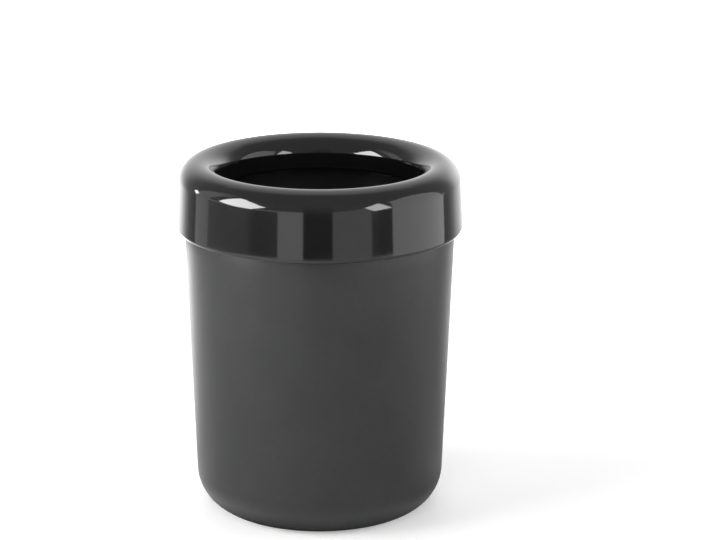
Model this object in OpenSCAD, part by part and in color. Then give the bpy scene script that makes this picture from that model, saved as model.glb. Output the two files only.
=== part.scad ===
// Tabletop cutlery holder: a tapered moulded cup and a half-round ring that pushes over its rim.
// Units are millimetres. +Z is up, the foot stands on Z = 0, the axis of both pieces is the Z axis.

/* [Overall] */
// Largest outside diameter, at the lower edge of the ring
ring_d = 126.2; // [119:0.2:135]
// Overall height, from the table to the crown of the ring
total_h = 158.8; // [140:0.2:180]

/* [Cup] */
// How far the ring stands out past the cup just below it, per side
overhang = 3.4; // [3.1:0.1:3.7]
// Draft of the cup wall, degrees
wall_draft = 2.45; // [1:0.05:3.5]
// Outside radius of the base corner
base_corner_r = 18.5; // [12:0.5:24]
// Wall thickness of the cup
wall_t = 2.9; // [2.5:0.1:3.2]
// Floor thickness of the cup
floor_t = 3; // [2.5:0.1:4]
// Depth of the recess inside the foot ring
foot_recess = 1.2; // [0.8:0.1:2]
// Radial width of the foot ring
foot_w = 5; // [3:0.5:8]
// Height of the stepped-in spigot that the ring slides over
spigot_h = 21.7; // [18:0.1:22]

/* [Ring] */
// Ring height, from its lower edge to the crown
ring_h = 30.4; // [29:0.1:34]
// Radius of the half-round crown
crown_r = 8.7; // [8.2:0.1:9.2]
// Draft of the outside of the skirt, degrees
skirt_draft = 2.8; // [2:0.1:3.2]
// Wall thickness of the crown
ring_t = 3.2; // [2.9:0.1:3.5]
// Rounding of the lower outside edge of the skirt
edge_r = 1.6; // [1.2:0.1:2]
// Depth of the inner lip below the crown
lip_depth = 15; // [13:0.5:20]
// Draft of the inner face of the lip, degrees
lip_draft = 2; // [1:0.25:4]

/* [Fit] */
// Gap between the spigot and the inside of the skirt, per side
fit_gap = 0.3; // [0.25:0.05:0.5]
// Gap left at the small grip ribs, per side
grip_gap = 0.08; // [0.05:0.01:0.2]
// Stop ribs under the crown, which rest on the rim of the cup
stop_ribs = 12; // [6:1:16]
// Thickness of a stop rib
stop_rib_t = 1.8; // [1.2:0.1:2.4]
// Upright grip ribs inside the skirt
grip_ribs = 6; // [3:1:8]

/* [Hidden] */
$fn = 128;

// ring: edge rounding, crown and the tangent lines between them
z_edge = total_h - ring_h;
edge_c = [ring_d / 2 - edge_r, z_edge + edge_r];
crown_z = total_h - crown_r;
n_skirt = [cos(skirt_draft), sin(skirt_draft)];
crown_x = (edge_c * n_skirt + edge_r - crown_r - crown_z * n_skirt[1]) / n_skirt[0];
crown_c = [crown_x, crown_z];
t_edge_bottom = [edge_c[0], z_edge];
t_edge_side = edge_c + edge_r * n_skirt;
t_skirt = crown_c + crown_r * n_skirt;
t_lip = crown_c + crown_r * [-cos(lip_draft), sin(lip_draft)];

// ring: the channel on the underside
core_draft = 1;
under_r = crown_r - ring_t;
t_under_out = crown_c + under_r * [cos(core_draft), sin(core_draft)];
t_under_in = crown_c + under_r * [-cos(core_draft), sin(core_draft)];
function skirt_in(z) = t_under_out[0] + (t_under_out[1] - z) * tan(core_draft);
function lip_face(z) = t_lip[0] - (t_lip[1] - z) * tan(lip_draft);
function lip_back(z) = t_under_in[0] - (t_under_in[1] - z) * tan(core_draft);
z_lip = total_h - lip_depth;
lip_r = 1.1;
lip_front_c = [lip_face(z_lip + lip_r) + lip_r / cos(lip_draft), z_lip + lip_r];
t_lip_front = lip_front_c + lip_r * [-cos(lip_draft), sin(lip_draft)];

// cup: outside
z_shoulder = z_edge - 0.2;
z_rim = z_shoulder + spigot_h;
shoulder_r = ring_d / 2 - overhang;
function wall_out(z) = shoulder_r - (z_shoulder - z) * tan(wall_draft);
n_wall = [cos(wall_draft), -sin(wall_draft)];
base_t_z = base_corner_r * (1 - sin(wall_draft));
base_c = [wall_out(base_t_z) - base_corner_r * cos(wall_draft), base_corner_r];
t_base_side = base_c + base_corner_r * n_wall;
t_base_bottom = [base_c[0], 0];
function spigot_out(z) = skirt_in(z) - fit_gap;
rim_r = 0.45;
shoulder_break = 0.3;

// cup: inside
z_floor = foot_recess + floor_t;
in_corner_r = base_corner_r - wall_t;
function wall_in(z) = wall_out(z) - wall_t / cos(wall_draft);
in_c_z = z_floor + in_corner_r;
in_t_z = in_c_z - in_corner_r * sin(wall_draft);
in_c = [wall_in(in_t_z) - in_corner_r * cos(wall_draft), in_c_z];
t_in_side = in_c + in_corner_r * n_wall;
t_in_bottom = [in_c[0], z_floor];
rim_in = wall_in(z_shoulder) + 0.25;

// underside
foot_in = base_c[0] - foot_w;
gate_d = 9;
gate_depth = 0.5;

// stop ribs
seat_gap = 0.05;
z_seat = z_rim + seat_gap;
rib_in = crown_x + 2;

// A whole disc at a tangent corner: the outline next to it meets it at its tangent points.
module disc(c, r) {
    translate(c) circle(r = r);
}

module cup_outside_2d() {
    polygon([
        [0, 0], t_base_bottom, t_base_side,
        [wall_out(z_shoulder - shoulder_break), z_shoulder - shoulder_break],
        [shoulder_r - shoulder_break, z_shoulder],
        [spigot_out(z_shoulder), z_shoulder],
        [spigot_out(z_rim - rim_r), z_rim - rim_r],
        [spigot_out(z_rim - rim_r) - rim_r, z_rim],
        [0, z_rim]
    ]);
    disc(base_c, base_corner_r);
}

module cup_inside_2d() {
    polygon([
        [0, z_floor], t_in_bottom, t_in_side,
        [wall_in(z_shoulder), z_shoulder],
        [rim_in, z_rim - rim_r],
        [rim_in + rim_r, z_rim],
        [rim_in + rim_r, z_rim + 5],
        [0, z_rim + 5]
    ]);
    disc(in_c, in_corner_r);
}

// The tapered cup: foot ring, base corner, wall, spigot and rim, with the gate mark under its floor.
module cup_body() {
    color([0.1, 0.1, 0.105]) {
        difference() {
            rotate_extrude() difference() {
                cup_outside_2d();
                cup_inside_2d();
                polygon([[0, -5], [foot_in + 0.5, -5], [foot_in + 0.5, 0], [foot_in, foot_recess], [0, foot_recess]]);
            }
            translate([0, 0, -1]) cylinder(d = gate_d, h = foot_recess + gate_depth + 1);
        }
        translate([0, 0, foot_recess + 0.1]) cylinder(d = 2.4, h = 1.2);
    }
}

// Everything between the inner face of the lip and the outside of the skirt, with the crown on top.
module ring_outside_2d() {
    polygon([
        t_lip, t_lip_front, [lip_front_c[0], z_lip], [lip_back(z_lip) + 2, z_lip],
        [skirt_in(z_edge) - 1, z_edge], t_edge_bottom, t_edge_side, t_skirt
    ]);
    disc(lip_front_c, lip_r);
    disc(edge_c, edge_r);
    disc(crown_c, crown_r);
}

// The channel under the crown, between the back of the lip and the inside of the skirt, open below.
module ring_channel_2d() {
    polygon([
        t_under_in, [lip_back(z_edge - 5), z_edge - 5], [skirt_in(z_edge - 5), z_edge - 5], t_under_out
    ]);
    disc(crown_c, under_r);
}

module ring_2d() {
    difference() {
        ring_outside_2d();
        ring_channel_2d();
    }
}

// One stop rib, drawn in the plane of its radius; its upper and outer edges run inside the ring's wall.
module stop_rib() {
    mid = under_r + ring_t * 0.45;
    rotate([90, 0, 0]) linear_extrude(stop_rib_t, center = true) polygon(concat(
        [[rib_in + 0.6, z_seat], [skirt_in(z_seat) + 0.9, z_seat]],
        [for (a = [8, 26, 44, 60, 68]) crown_c + mid * [cos(a), sin(a)]],
        [[rib_in, crown_z + 0.5 * mid], [rib_in, z_seat + 0.6]]
    ));
}

// The ring: skirt, half-round crown and inner lip, with stop ribs and grip ribs on its hidden side.
module top_ring() {
    grip_r = 0.8;
    grip_z = (z_edge + z_rim) / 2;
    color([0.03, 0.03, 0.032]) {
        rotate_extrude() ring_2d();
        for (i = [0 : stop_ribs - 1]) rotate([0, 0, (i + 0.5) * 360 / stop_ribs]) stop_rib();
        for (i = [0 : grip_ribs - 1]) rotate([0, 0, i * 360 / grip_ribs])
            translate([skirt_in(grip_z) + grip_r - (fit_gap - grip_gap) / cos(core_draft), 0, grip_z])
                rotate([0, -core_draft, 0]) cylinder(r = grip_r, h = 13, center = true);
    }
}

cup_body();
top_ring();
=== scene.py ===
import math

import bmesh
import bpy
from mathutils import Matrix, Vector


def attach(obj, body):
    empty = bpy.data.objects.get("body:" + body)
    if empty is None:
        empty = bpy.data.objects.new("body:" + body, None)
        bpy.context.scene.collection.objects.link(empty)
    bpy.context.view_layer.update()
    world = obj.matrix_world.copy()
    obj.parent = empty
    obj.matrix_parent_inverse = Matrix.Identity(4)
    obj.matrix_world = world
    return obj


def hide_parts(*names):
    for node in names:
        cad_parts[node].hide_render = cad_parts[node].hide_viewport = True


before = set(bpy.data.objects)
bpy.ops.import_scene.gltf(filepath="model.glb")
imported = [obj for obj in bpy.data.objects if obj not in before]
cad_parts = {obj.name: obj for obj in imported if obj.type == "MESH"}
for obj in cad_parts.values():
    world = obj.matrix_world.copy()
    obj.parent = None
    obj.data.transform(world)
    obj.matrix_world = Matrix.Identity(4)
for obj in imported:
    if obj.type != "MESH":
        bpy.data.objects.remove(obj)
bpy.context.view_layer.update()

MM = 0.001


def deg(a):
    return math.radians(a)


# ---------------------------------------------------------------- sizes, mm
RING_D = 126.2
TOTAL_H = 158.8
OVERHANG = 3.4
WALL_DRAFT = deg(2.45)
BASE_R = 18.5
WALL_T = 2.9
FLOOR_T = 3.0
FOOT_RECESS = 1.2
FOOT_W = 5.0
SPIGOT_H = 21.7
RING_H = 30.4
CROWN_R = 8.7
SKIRT_DRAFT = deg(2.8)
RING_T = 3.2
EDGE_R = 1.6
LIP_DEPTH = 15.0
LIP_DRAFT = deg(2.0)
CORE_DRAFT = deg(1.0)
FIT_GAP = 0.3
GRIP_GAP = 0.08
STOP_RIBS = 12
STOP_RIB_T = 1.8
GRIP_RIBS = 6

# ring
z_edge = TOTAL_H - RING_H
edge_c = (RING_D / 2 - EDGE_R, z_edge + EDGE_R)
crown_z = TOTAL_H - CROWN_R
ns = (math.cos(SKIRT_DRAFT), math.sin(SKIRT_DRAFT))
crown_x = (edge_c[0] * ns[0] + edge_c[1] * ns[1] + EDGE_R - CROWN_R - crown_z * ns[1]) / ns[0]
under_r = CROWN_R - RING_T
t_under_out = (crown_x + under_r * math.cos(CORE_DRAFT), crown_z + under_r * math.sin(CORE_DRAFT))
t_under_in = (crown_x - under_r * math.cos(CORE_DRAFT), crown_z + under_r * math.sin(CORE_DRAFT))
t_lip = (crown_x - CROWN_R * math.cos(LIP_DRAFT), crown_z + CROWN_R * math.sin(LIP_DRAFT))
z_lip = TOTAL_H - LIP_DEPTH


def skirt_in(z):
    return t_under_out[0] + (t_under_out[1] - z) * math.tan(CORE_DRAFT)


def lip_face(z):
    return t_lip[0] - (t_lip[1] - z) * math.tan(LIP_DRAFT)


def lip_back(z):
    return t_under_in[0] - (t_under_in[1] - z) * math.tan(CORE_DRAFT)


# cup
z_shoulder = z_edge - 0.2
z_rim = z_shoulder + SPIGOT_H
shoulder_r = RING_D / 2 - OVERHANG


def wall_out(z):
    return shoulder_r - (z_shoulder - z) * math.tan(WALL_DRAFT)


def wall_in(z):
    return wall_out(z) - WALL_T / math.cos(WALL_DRAFT)


def spigot_out(z):
    return skirt_in(z) - FIT_GAP


base_x = wall_out(BASE_R * (1 - math.sin(WALL_DRAFT))) - BASE_R * math.cos(WALL_DRAFT)
z_floor = FOOT_RECESS + FLOOR_T
in_r = BASE_R - WALL_T
in_x = wall_in(z_floor + in_r * (1 - math.sin(WALL_DRAFT))) - in_r * math.cos(WALL_DRAFT)
foot_in = base_x - FOOT_W
rim_in = wall_in(z_shoulder) + 0.25
z_seat = z_rim + 0.05
rib_in = crown_x + 2.0


# ---------------------------------------------------------------- profiles
def arc(c, r, a0, a1, step):
    """Points on an arc from a0 to a1 degrees, ends included."""
    n = max(2, int(math.ceil(abs(a1 - a0) / step)))
    return [
        (c[0] + r * math.cos(deg(a0 + (a1 - a0) * i / n)), c[1] + r * math.sin(deg(a0 + (a1 - a0) * i / n)))
        for i in range(n + 1)
    ]


def corner(p, a, b, r, n=4):
    """A small rounding of radius r at corner p of the path a - p - b."""
    u = Vector((a[0] - p[0], a[1] - p[1])).normalized()
    v = Vector((b[0] - p[0], b[1] - p[1])).normalized()
    half = math.acos(max(-1, min(1, u.dot(v)))) / 2
    d = r / math.tan(half)
    c = Vector(p) + (u + v).normalized() * (r / math.sin(half))
    s, e = Vector(p) + u * d - c, Vector(p) + v * d - c
    turn = s.angle_signed(e)
    out = []
    for i in range(n + 1):
        q = s.copy()
        q.rotate(Matrix.Rotation(-turn * i / n, 2))
        out.append((c[0] + q[0], c[1] + q[1]))
    return out


def rounded(path, radii):
    """The open path with the corners named in radii rounded off."""
    out = []
    for i, p in enumerate(path):
        if i in radii and 0 < i < len(path) - 1:
            out += corner(p, path[i - 1], path[i + 1], radii[i])
        else:
            out.append(p)
    return out


def spread(path, longest):
    """The path with long straight runs cut into shorter ones."""
    out = [path[0]]
    for p in path[1:]:
        q = out[-1]
        d = math.hypot(p[0] - q[0], p[1] - q[1])
        n = max(1, int(math.ceil(d / longest)))
        for i in range(1, n):
            out.append((q[0] + (p[0] - q[0]) * i / n, q[1] + (p[1] - q[1]) * i / n))
        out.append(p)
    return out


def cleaned(path, closed=False):
    out = []
    for p in path:
        if not out or math.hypot(p[0] - out[-1][0], p[1] - out[-1][1]) > 1e-4:
            out.append(p)
    if closed and math.hypot(out[0][0] - out[-1][0], out[0][1] - out[-1][1]) < 1e-4:
        out.pop()
    return out


# ---------------------------------------------------------------- meshes
def finish_mesh(bm, name, sharp=deg(32)):
    bmesh.ops.recalc_face_normals(bm, faces=bm.faces)
    me = bpy.data.meshes.new(name)
    bm.to_mesh(me)
    bm.free()
    me.polygons.foreach_set("use_smooth", [True] * len(me.polygons))
    me.set_sharp_from_angle(angle=sharp)
    ob = bpy.data.objects.new(name, me)
    bpy.context.scene.collection.objects.link(ob)
    return ob


def cup_path():
    under = [
        (0.0, FOOT_RECESS + 0.1),
        (1.2, FOOT_RECESS + 0.1),
        (1.2, FOOT_RECESS + 0.5),
        (4.5, FOOT_RECESS + 0.5),
        (4.5, FOOT_RECESS),
        (foot_in, FOOT_RECESS),
        (foot_in + 0.5, 0.0),
        (base_x, 0.0),
    ]
    path = rounded(under, {1: 0.15, 2: 0.12, 3: 0.12, 4: 0.15, 5: 0.3, 6: 0.25})
    path += arc((base_x, BASE_R), BASE_R, -90, -2.45, 2.0)
    top = [
        path[-1],
        (shoulder_r, z_shoulder),
        (spigot_out(z_shoulder), z_shoulder),
        (spigot_out(z_rim), z_rim),
        (rim_in, z_rim),
        (wall_in(z_shoulder), z_shoulder),
    ]
    path += rounded(top, {1: 0.3, 2: 0.12, 3: 0.45, 4: 0.45})
    path += arc((in_x, z_floor + in_r), in_r, -2.45, -90, 2.5)
    path.append((0.0, z_floor))
    return cleaned(spread(path, 6.0))


def lathe_to_axis(path, name, steps):
    """A closed solid of revolution whose path starts and ends on the axis."""
    bm = bmesh.new()
    first = bm.verts.new((0, 0, path[0][1] * MM))
    last = bm.verts.new((0, 0, path[-1][1] * MM))
    rows = []
    for r, z in path[1:-1]:
        rows.append(
            [
                bm.verts.new((r * MM * math.cos(2 * math.pi * j / steps), r * MM * math.sin(2 * math.pi * j / steps), z * MM))
                for j in range(steps)
            ]
        )
    for j in range(steps):
        k = (j + 1) % steps
        bm.faces.new((first, rows[0][k], rows[0][j]))
        bm.faces.new((last, rows[-1][j], rows[-1][k]))
        for a, b in zip(rows[:-1], rows[1:]):
            bm.faces.new((a[j], a[k], b[k], b[j]))
    return finish_mesh(bm, name)


def ring_loops():
    """The ring's closed outline without and with a stop rib; both share every point outside the rib."""
    front_r = 1.1
    lip_cx = lip_face(z_lip + front_r) + front_r / math.cos(LIP_DRAFT)
    head = [(skirt_in(z_edge) + 0.25, z_edge)]
    head += arc(edge_c, EDGE_R, -90, math.degrees(SKIRT_DRAFT), 6)
    head += arc((crown_x, crown_z), CROWN_R, math.degrees(SKIRT_DRAFT), 180 - math.degrees(LIP_DRAFT), 3.0)
    head += arc((lip_cx, z_lip + front_r), front_r, 180 - math.degrees(LIP_DRAFT), 270, 12)
    back = [head[-1], (lip_back(z_lip), z_lip), t_under_in]
    head += rounded(back, {1: 0.4})[1:]
    # e and s are where a rib's edge leaves and rejoins the underside
    a_e = math.degrees(math.acos((rib_in - crown_x) / under_r))
    head += arc((crown_x, crown_z), under_r, 180 - math.degrees(CORE_DRAFT), a_e, 7)[1:]
    head = cleaned(spread(head, 4.0))
    wall = arc((crown_x, crown_z), under_r, a_e, math.degrees(CORE_DRAFT), 8)[1:]
    s = (skirt_in(z_seat), z_seat)
    rib = [(rib_in, z_seat + 0.6), (rib_in + 0.6, z_seat)]
    mid = (z_edge + z_rim) / 2
    zs = [mid + 6.52, mid + 6.48, mid + 3.2, mid, mid - 3.2, mid - 6.48, mid - 6.52, z_edge + 3, z_edge + 0.25]
    tail = [s, (skirt_in(z_seat - 2), z_seat - 2)] + [(skirt_in(z), z) for z in zs]
    return head, wall, rib, tail, mid


def grip_bump(u):
    """How far a grip rib stands in from the wall, u mm to the side of its middle."""
    r, rise = 0.8, FIT_GAP - GRIP_GAP
    return max(0.0, math.sqrt(max(0.0, r * r - u * u)) - (r - rise))


def build_ring(name, steps):
    head, wall, rib, tail, mid = ring_loops()
    nh, nw, nt = len(head), len(wall), len(tail)
    half = STOP_RIB_T / 2 / 57.0
    special = []
    for i in range(STOP_RIBS):
        a = 2 * math.pi * (i + 0.5) / STOP_RIBS
        special += [(a - half, "in"), (a + half, "out")]
    grips = [2 * math.pi * i / GRIP_RIBS for i in range(GRIP_RIBS)]
    for g in grips:
        for u in (-0.6, -0.48, -0.34, -0.17, 0.0, 0.17, 0.34, 0.48, 0.6):
            special.append((g + u / 59.1, "grip"))
    cols = [((a + 2 * math.pi) % (2 * math.pi), k) for a, k in special]
    gap = 0.55 * 2 * math.pi / steps
    for j in range(steps):
        a = 2 * math.pi * (j + 0.25) / steps
        if all(abs((a - b + math.pi) % (2 * math.pi) - math.pi) > gap for b, _ in cols[: len(special)]):
            inside = any(
                abs((a - 2 * math.pi * (i + 0.5) / STOP_RIBS + math.pi) % (2 * math.pi) - math.pi) < half
                for i in range(STOP_RIBS)
            )
            if not inside:
                cols.append((a, ""))
    cols.sort()
    bm = bmesh.new()

    def put(p, a):
        r, z = p
        return bm.verts.new((r * MM * math.cos(a), r * MM * math.sin(a), z * MM))

    H, W, R, T = [], [], [], []
    for a, kind in cols:
        H.append([put(p, a) for p in head])
        W.append([put(p, a) for p in wall])
        R.append([put(p, a) for p in rib] if kind in ("in", "out") else None)
        near = min(abs((a - g + math.pi) % (2 * math.pi) - math.pi) for g in grips) * 59.1
        row = []
        for r, z in tail:
            row.append(put((r - (grip_bump(near) if abs(z - mid) < 6.5 else 0.0), z), a))
        T.append(row)
    n = len(cols)
    for j in range(n):
        k = (j + 1) % n
        in_rib = cols[j][1] == "in"
        for run in (H, T):
            for a in range(len(run[j]) - 1):
                bm.faces.new((run[j][a], run[k][a], run[k][a + 1], run[j][a + 1]))
        bm.faces.new((T[j][-1], T[k][-1], H[k][0], H[j][0]))
        if in_rib:
            lj = [H[j][-1]] + R[j] + [T[j][0]]
            lk = [H[k][-1]] + R[k] + [T[k][0]]
        else:
            lj = [H[j][-1]] + W[j] + [T[j][0]]
            lk = [H[k][-1]] + W[k] + [T[k][0]]
        for a in range(len(lj) - 1):
            bm.faces.new((lj[a], lk[a], lk[a + 1], lj[a + 1]))
        if cols[j][1] in ("in", "out"):
            bm.faces.new([H[j][-1]] + W[j] + [T[j][0]] + R[j][::-1])
    return finish_mesh(bm, name)


# ---------------------------------------------------------------- materials
class Nodes:
    """A small helper for laying out a node tree."""

    def __init__(self, tree):
        self.tree = tree
        tree.nodes.clear()
        self.x = 0

    def add(self, kind, inputs=None, **props):
        n = self.tree.nodes.new(kind)
        self.x += 180
        n.location = (self.x, 0)
        for k, v in props.items():
            setattr(n, k, v)
        for k, v in (inputs or {}).items():
            if isinstance(v, bpy.types.NodeSocket):
                self.tree.links.new(v, n.inputs[k])
            else:
                n.inputs[k].default_value = v
        return n

    def ramp(self, fac, stops):
        n = self.add("ShaderNodeValToRGB", {"Fac": fac})
        els = n.color_ramp.elements
        while len(els) < len(stops):
            els.new(0.5)
        for e, (p, c) in zip(els, stops):
            e.position = p
            e.color = (c[0], c[1], c[2], 1.0)
        return n.outputs["Color"]


def new_material(name):
    m = bpy.data.materials.new(name)
    m.use_nodes = True
    return m, Nodes(m.node_tree)


def satin_black():
    """Moulded satin plastic: a fine spark-eroded grain, and faint flow clouding in its tone and gloss."""
    m, t = new_material("satin_black_plastic")
    co = t.add("ShaderNodeTexCoord").outputs["Object"]
    grain = t.add("ShaderNodeTexNoise", {"Vector": co, "Scale": 2600.0, "Detail": 2.0, "Roughness": 0.6})
    cloud = t.add("ShaderNodeTexNoise", {"Vector": co, "Scale": 38.0, "Detail": 4.0, "Roughness": 0.55})
    fine = t.add("ShaderNodeTexNoise", {"Vector": co, "Scale": 420.0, "Detail": 3.0, "Roughness": 0.6})
    tone = t.add("ShaderNodeMath", {0: cloud.outputs["Fac"], 1: 0.65}, operation="MULTIPLY")
    tone = t.add("ShaderNodeMath", {0: fine.outputs["Fac"], 1: 0.35, 2: tone.outputs[0]}, operation="MULTIPLY_ADD")
    colour = t.ramp(tone.outputs[0], [(0.3, (0.0142, 0.0142, 0.0147)), (0.7, (0.0214, 0.0214, 0.0222))])
    rough = t.add("ShaderNodeMapRange", {"Value": tone.outputs[0], "From Min": 0.3, "From Max": 0.7, "To Min": 0.32, "To Max": 0.38})
    bump = t.add("ShaderNodeBump", {"Height": grain.outputs["Fac"], "Strength": 0.8, "Distance": 0.000022})
    bsdf = t.add(
        "ShaderNodeBsdfPrincipled",
        {"Base Color": colour, "Roughness": rough.outputs[0], "IOR": 1.43, "Normal": bump.outputs["Normal"]},
    )
    t.add("ShaderNodeOutputMaterial", {"Surface": bsdf.outputs[0]})
    return m


def gloss_black():
    """Polished plastic: near-mirror gloss with a trace of moulding ripple, smears and hairline polish marks."""
    m, t = new_material("gloss_black_plastic")
    co = t.add("ShaderNodeTexCoord").outputs["Object"]
    ripple = t.add("ShaderNodeTexNoise", {"Vector": co, "Scale": 160.0, "Detail": 1.0, "Roughness": 0.4})
    smear = t.add("ShaderNodeTexNoise", {"Vector": co, "Scale": 45.0, "Detail": 5.0, "Roughness": 0.6})
    along = t.add("ShaderNodeMapping", {"Vector": co, "Scale": (1.0, 1.0, 14.0)})
    hair = t.add("ShaderNodeTexNoise", {"Vector": along.outputs[0], "Scale": 260.0, "Detail": 4.0, "Roughness": 0.7})
    mix = t.add("ShaderNodeMath", {0: smear.outputs["Fac"], 1: 0.6}, operation="MULTIPLY")
    mix = t.add("ShaderNodeMath", {0: hair.outputs["Fac"], 1: 0.4, 2: mix.outputs[0]}, operation="MULTIPLY_ADD")
    colour = t.ramp(mix.outputs[0], [(0.3, (0.0062, 0.0062, 0.0065)), (0.7, (0.0104, 0.0104, 0.0109))])
    rough = t.add("ShaderNodeMapRange", {"Value": mix.outputs[0], "From Min": 0.35, "From Max": 0.7, "To Min": 0.055, "To Max": 0.105})
    bump = t.add("ShaderNodeBump", {"Height": ripple.outputs["Fac"], "Strength": 0.25, "Distance": 0.000004})
    bsdf = t.add(
        "ShaderNodeBsdfPrincipled",
        {"Base Color": colour, "Roughness": rough.outputs[0], "IOR": 1.5, "Normal": bump.outputs["Normal"]},
    )
    t.add("ShaderNodeOutputMaterial", {"Surface": bsdf.outputs[0]})
    return m


cup = lathe_to_axis(cup_path(), "cup_shell", 240)
cup.data.materials.append(satin_black())
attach(cup, "cup")
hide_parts("cup_body")

ring = build_ring("ring_shell", 240)
ring.data.materials.append(gloss_black())
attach(ring, "ring")
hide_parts("top_ring")


# ---------------------------------------------------------------- studio
def glow_material():
    """Emission whose strength is stored at each corner of the card."""
    m, t = new_material("card_glow")
    g = t.add("ShaderNodeAttribute", attribute_name="glow", attribute_type="GEOMETRY")
    e = t.add("ShaderNodeEmission", {"Color": (1, 1, 1, 1), "Strength": g.outputs["Fac"]})
    t.add("ShaderNodeOutputMaterial", {"Surface": e.outputs[0]})
    return m


CARD = glow_material()


def reflector(name, low, high, glow_low, glow_high):
    """A flat or bent card between two rows of points that only reflections see: the studio's panels and flags."""
    n = len(low)
    faces = [(i, i + 1, n + i + 1, n + i) for i in range(n - 1)]
    return card(name, list(low) + list(high), faces, list(glow_low) + list(glow_high))


def card(name, verts, faces, glow):
    """An emitting sheet that only reflections see, with its strength given at each point."""
    me = bpy.data.meshes.new(name)
    me.from_pydata(verts, [], faces)
    me.attributes.new("glow", "FLOAT", "POINT").data.foreach_set("value", glow)
    me.materials.append(CARD)
    ob = bpy.data.objects.new(name, me)
    bpy.context.scene.collection.objects.link(ob)
    ob.visible_camera = False
    ob.visible_diffuse = False
    ob.visible_shadow = False
    ob.visible_transmission = False
    ob.visible_volume_scatter = False
    return ob


def along(values, f):
    """The value at fraction f of an evenly spaced list, or the value itself."""
    if not isinstance(values, (list, tuple)):
        return values
    g = f * (len(values) - 1)
    k = min(int(g), len(values) - 2)
    return values[k] + (values[k + 1] - values[k]) * (g - k)


def band(name, az0, az1, z0, z1, glow, top_glow=None, radius=0.45):
    """A piece of a low round wall about the holder. Azimuth 0 is the camera's side, +90 its right."""
    n = 17
    low, high, gl, gh = [], [], [], []
    for i in range(n):
        f = i / (n - 1)
        a = deg(az0 + (az1 - az0) * f)
        low.append((radius * math.sin(a), -radius * math.cos(a), along(z0, f)))
        high.append((radius * math.sin(a), -radius * math.cos(a), along(z1, f)))
        gl.append(along(glow, f))
        gh.append(along(glow if top_glow is None else top_glow, f))
    return reflector(name, low, high, gl, gh)


def panel(name, low, high, glow):
    """An evenly lit panel between two rows of points."""
    return reflector(name, low, high, [glow] * len(low), [glow] * len(high))


def sweep(name, az0, az1, r0, r1, glow, far_glow=None, z=0.0008):
    """A flat card just above the floor, part of a ring about the holder, that only reflections see: it paints the
    floor's light and shade into what the cup mirrors.
    """
    n = 33
    near, far, gl, gf = [], [], [], []
    for i in range(n):
        f = i / (n - 1)
        a = deg(az0 + (az1 - az0) * f)
        near.append((r0 * math.sin(a), -r0 * math.cos(a), z))
        far.append((r1 * math.sin(a), -r1 * math.cos(a), z))
        gl.append(along(glow, f))
        gf.append(along(glow if far_glow is None else far_glow, f))
    return reflector(name, near, far, gl, gf)


# lit panels seen as white patches on the front of the crown
panel(
    "key_panel",
    [(-0.383, -0.058, 0.155), (-0.378, -0.089, 0.137), (-0.369, -0.120, 0.123), (-0.354, -0.157, 0.117), (-0.332, -0.203, 0.115), (-0.307, -0.242, 0.115)],
    [(-0.306, -0.125, 0.344), (-0.300, -0.160, 0.333), (-0.295, -0.200, 0.307), (-0.287, -0.237, 0.276), (-0.275, -0.272, 0.235), (-0.255, -0.298, 0.214)],
    17.0,
)
panel(
    "second_panel",
    [(0.216, -0.326, 0.225), (0.233, -0.322, 0.183), (0.248, -0.312, 0.132), (0.261, -0.297, 0.107)],
    [(0.256, -0.244, 0.317), (0.283, -0.246, 0.270), (0.306, -0.244, 0.207), (0.321, -0.231, 0.143)],
    8.8,
)
panel("small_lamp", [(-0.337, 0.138, 0.176), (-0.344, 0.117, 0.196)], [(-0.345, 0.120, 0.131), (-0.354, 0.099, 0.163)], 14.0)
reflector(
    "left_strip",
    [(-0.633, 0.083, 0.100), (-0.634, 0.009, 0.255), (-0.608, -0.033, 0.353), (-0.566, -0.092, 0.437), (-0.490, -0.141, 0.533)],
    [(-0.589, 0.220, 0.238), (-0.576, 0.142, 0.375), (-0.560, 0.096, 0.432), (-0.528, 0.034, 0.497), (-0.458, -0.085, 0.578)],
    [1.25, 1.5, 1.6, 1.2, 0.6],
    [1.25, 1.3, 1.4, 1.1, 0.6],
)

# cards and flags round the holder, seen along the skirt
band("left_panel", -112.2, -95.3, 0.0, [0.19, 0.182], 1.17)
band("left_floor_card", -95.3, -74.1, [0.03, 0.034], 0.10, [0.62, 0.54])
band("left_grey_card", -74.1, -54.2, [0.034, 0.041], 0.10, [0.54, 0.58, 0.46])
band("left_flag", -54.2, -31.3, [0.041, 0.045], 0.10, [0.32, 0.26, 0.28, 0.36])
band("front_panel", -31.3, -12.3, 0.045, [0.10, 0.12], 1.80)
band("front_flag", -12.3, 9.4, 0.045, 0.10, 0.08)
band("front_flag_top", -12.3, 9.4, 0.10, 0.40, 0.2, 0.47)
band("front_card", 9.4, 39.1, 0.045, [0.135, 0.172, 0.197, 0.235], 1.08)
band("right_flag", 39.1, 56.1, 0.045, 0.10, [0.28, 0.17, 0.24])
band("right_panel", 56.1, 111.2, 0.0, [0.36, 0.395, 0.427, 0.415, 0.366, 0.258, 0.06], 2.15)


def behind_glow(az):
    """Even glow of the surroundings by azimuth, brightest straight behind; the same curve as the world's."""
    t = min(1.0, max(0.0, (-math.cos(deg(az)) - 0.55) / 0.45))
    return 0.5 + 0.72 * t * t * (3.0 - 2.0 * t)


def soft_lamp(az, z, peak, az_mid, az_near, az_far, z_mid, z_low, z_high):
    """A big soft lamp: strongest at (az_mid, z_mid) and falling away smoothly on each side."""
    da = (az_mid - az) / az_near if az < az_mid else (az - az_mid) / az_far
    dz = (z_mid - z) / z_low if z < z_mid else (z - z_mid) / z_high
    return peak * math.exp(-(da**2.2) - dz**2)


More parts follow.
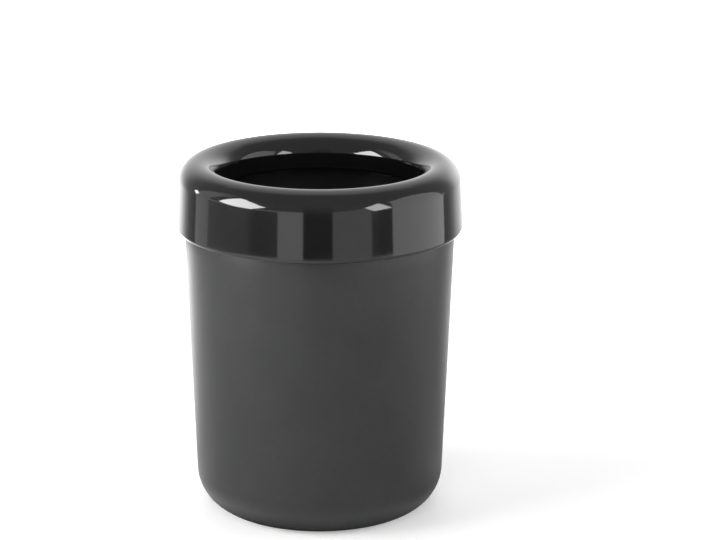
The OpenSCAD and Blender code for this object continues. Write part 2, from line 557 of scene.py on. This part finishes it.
def back_wall(name, az_edge, z_top, radius=0.45):
    """The wall behind the holder: a soft lamp low on the left, another higher on the right, dim near its two ends."""
    na, nz = 121, 33
    verts, glow = [], []
    for j in range(nz):
        z = z_top * j / (nz - 1)
        for i in range(na):
            az = az_edge + (360.0 - 2 * az_edge) * i / (na - 1)
            verts.append((radius * math.sin(deg(az)), -radius * math.cos(deg(az)), z))
            g = behind_glow(az)
            g += soft_lamp(az, z, 1.45, 139.5, 12.5, 22.8, 0.20, 0.150, 0.134)
            g += soft_lamp(360.0 - az, z, 1.42, 144.0, 13.4, 16.5, 0.015, 0.03, 0.175)
            end = min(1.0, max(0.0, (135.0 - min(az, 360.0 - az)) / 20.0))
            g -= 0.20 * end * min(1.0, max(0.0, (0.12 - z) / 0.06))
            glow.append(g)
    faces = [
        (j * na + i, j * na + i + 1, (j + 1) * na + i + 1, (j + 1) * na + i) for j in range(nz - 1) for i in range(na - 1)
    ]
    return card(name, verts, faces, glow)


back_wall("back_wall", 112.2, 0.62)

# cards just above the floor that only reflections see, standing in for the floor close by as the cup mirrors it: a
# painted reflection, brightest behind on the left, with painted shadow dim behind on the right and painted contact
# shade dark at the foot
sweep(
    "left_sweep", -178.0, -96.0, 0.085, 0.445,
    [2.7, 2.7, 2.5, 1.9, 1.2, 1.0, 1.1, 1.2],
    [4.8, 4.8, 4.7, 4.0, 2.5, 1.6, 1.5, 1.5],
)
sweep(
    "right_sweep", 96.0, 178.0, 0.085, 0.445,
    [0.75, 0.6, 0.5, 0.6, 0.95, 1.5, 1.7, 1.7],
    [0.95, 0.7, 0.6, 0.85, 1.5, 2.2, 2.4, 2.4],
)
sweep(
    "front_sweep", -96.0, 96.0, 0.056, 0.445,
    [1.0, 1.0, 1.15, 1.3, 1.35, 1.2, 1.0, 0.9, 0.82, 0.72, 0.64, 0.60, 0.60],
    [1.45, 1.5, 1.55, 1.62, 1.62, 1.48, 1.32, 1.18, 1.04, 0.9, 0.9, 1.06, 1.04],
    z=0.0006,
)
# painted contact shade at the foot and painted shadow on the right: dark cards seen only in the cup's reflection
sweep("foot_shade", -180.0, 180.0, 0.0370, 0.0460, 0.06)
sweep("foot_shade_fade", -180.0, 180.0, 0.0460, 0.0560, 0.06, [0.75, 0.8, 0.9, 1.0, 0.9, 0.55, 0.4, 0.6, 0.75], z=0.0007)
sweep("right_shade", 55.0, 170.0, 0.0520, 0.0850, [0.52, 0.42, 0.38, 0.40, 0.45, 0.60, 0.80])

# floor
bpy.ops.mesh.primitive_circle_add(vertices=128, radius=8.0, fill_type="NGON", location=(0, 0, 0))
floor = bpy.context.object
floor.name = "floor"
fm, ft = new_material("pale_floor")
fco = ft.add("ShaderNodeTexCoord").outputs["Object"]
fn = ft.add("ShaderNodeTexNoise", {"Vector": fco, "Scale": 3.0, "Detail": 2.0})
fc = ft.ramp(fn.outputs["Fac"], [(0.3, (0.86, 0.86, 0.86)), (0.7, (0.88, 0.88, 0.88))])
fb = ft.add("ShaderNodeBsdfDiffuse", {"Color": fc})
# a table lit from below: it glows a little everywhere, and more far off, where it runs white into the surroundings
fr = ft.add("ShaderNodeVectorMath", {0: fco}, operation="LENGTH")
fg = ft.add(
    "ShaderNodeMapRange",
    {"Value": fr.outputs["Value"], "From Min": 0.55, "From Max": 0.84, "To Min": 0.32, "To Max": 1.03},
    interpolation_type="SMOOTHSTEP",
)
fe = ft.add("ShaderNodeEmission", {"Color": (1, 1, 1, 1), "Strength": fg.outputs[0]})
fs = ft.add("ShaderNodeAddShader", {0: fb.outputs[0], 1: fe.outputs[0]})
ft.add("ShaderNodeOutputMaterial", {"Surface": fs.outputs[0]})
floor.data.materials.append(fm)


def area(name, location, target, size, energy, spread=180.0, only=None):
    d = bpy.data.lights.new(name, "AREA")
    d.shape = "RECTANGLE"
    d.size, d.size_y = size
    d.energy = energy
    d.spread = deg(spread)
    o = bpy.data.objects.new(name, d)
    bpy.context.scene.collection.objects.link(o)
    o.location = location
    o.rotation_mode = "QUATERNION"
    o.rotation_quaternion = (Vector(target) - Vector(location)).to_track_quat("-Z", "Y")
    o.visible_camera = False
    o.visible_glossy = False
    o.light_linking.receiver_collection = only
    return o


# two low side lights fill the floor by the foot and leave the holder alone
on_floor = bpy.data.collections.new("on_floor")
on_floor.objects.link(floor)
area("front_light", (0.0, -1.6, 0.95), (0.0, 0.0, 0.0), (1.0, 1.0), 12.5)
area("right_light", (0.75, -0.15, 0.25), (0.0, 0.0, 0.05), (0.7, 0.4), 3.4, only=on_floor)
area("left_light", (-0.75, -0.3, 0.3), (0.0, 0.0, 0.05), (0.6, 0.4), 8.6, only=on_floor)
area("back_light", (0.0, 1.1, 1.0), (0.0, 1.1, 0.0), (1.8, 1.0), 20.5, 95.0)

# surroundings: even and darker round the front and overhead, bright behind
world = bpy.data.worlds.new("studio")
bpy.context.scene.world = world
world.use_nodes = True
w = Nodes(world.node_tree)
wd = w.add("ShaderNodeTexCoord").outputs["Generated"]
ws = w.add("ShaderNodeSeparateXYZ", {0: wd})
wx = w.add("ShaderNodeMath", {0: ws.outputs["X"], 1: ws.outputs["X"]}, operation="MULTIPLY")
wr = w.add("ShaderNodeMath", {0: ws.outputs["Y"], 1: ws.outputs["Y"], 2: wx.outputs[0]}, operation="MULTIPLY_ADD")
wr = w.add("ShaderNodeMath", {0: wr.outputs[0], 1: 0.0001}, operation="ADD")
wr = w.add("ShaderNodeMath", {0: wr.outputs[0]}, operation="SQRT")
wc = w.add("ShaderNodeMath", {0: ws.outputs["Y"], 1: wr.outputs[0]}, operation="DIVIDE")
behind = w.add(
    "ShaderNodeMapRange",
    {"Value": wc.outputs[0], "From Min": 0.55, "From Max": 1.0, "To Min": 0.0, "To Max": 0.72},
    interpolation_type="SMOOTHSTEP",
)
below_top = w.add(
    "ShaderNodeMapRange",
    {"Value": ws.outputs["Z"], "From Min": 0.92, "From Max": 1.0, "To Min": 1.0, "To Max": 0.0},
    interpolation_type="SMOOTHSTEP",
)
wv = w.add("ShaderNodeMath", {0: behind.outputs[0], 1: below_top.outputs[0], 2: 0.5}, operation="MULTIPLY_ADD")
wg = w.add("ShaderNodeBackground", {"Color": (1, 1, 1, 1), "Strength": wv.outputs[0]})
wf = w.add("ShaderNodeBackground", {"Color": (1, 1, 1, 1), "Strength": 0.12})
ww = w.add("ShaderNodeBackground", {"Color": (1, 1, 1, 1), "Strength": 1.05})
wl = w.add("ShaderNodeLightPath")
wm = w.add("ShaderNodeMixShader", {0: wl.outputs["Is Diffuse Ray"], 1: wg.outputs[0], 2: wf.outputs[0]})
wm = w.add("ShaderNodeMixShader", {0: wl.outputs["Is Camera Ray"], 1: wm.outputs[0], 2: ww.outputs[0]})
w.add("ShaderNodeOutputWorld", {"Surface": wm.outputs[0]})

# ---------------------------------------------------------------- camera
DIST, ELEV, FOCAL, LOOK_Z = 1.442, deg(16.6), 3231.0, 0.0817
fwd = Vector((0, math.cos(ELEV), -math.sin(ELEV)))
eye = Vector((0, 0, LOOK_Z)) - fwd * DIST
up = Vector((1, 0, 0)).cross(fwd)
aim = (fwd + Vector((1, 0, 0)) * (38.2 / FOCAL) + up * (58.2 / FOCAL)).normalized()
right = (Vector((1, 0, 0)) - aim * aim.x).normalized()
cam_up = right.cross(aim)
cd = bpy.data.cameras.new("camera")
cd.sensor_width = 36.0
cd.lens = FOCAL * 36.0 / 716.0
cd.clip_start, cd.clip_end = 0.05, 50.0
camera = bpy.data.objects.new("camera", cd)
bpy.context.scene.collection.objects.link(camera)
camera.matrix_world = Matrix(
    (
        (right.x, cam_up.x, -aim.x, eye.x),
        (right.y, cam_up.y, -aim.y, eye.y),
        (right.z, cam_up.z, -aim.z, eye.z),
        (0, 0, 0, 1),
    )
)
bpy.context.scene.camera = camera
vs = bpy.context.scene.view_settings
vs.view_transform = "Standard"
vs.look = "None"
vs.exposure = 0.0
vs.gamma = 1.0
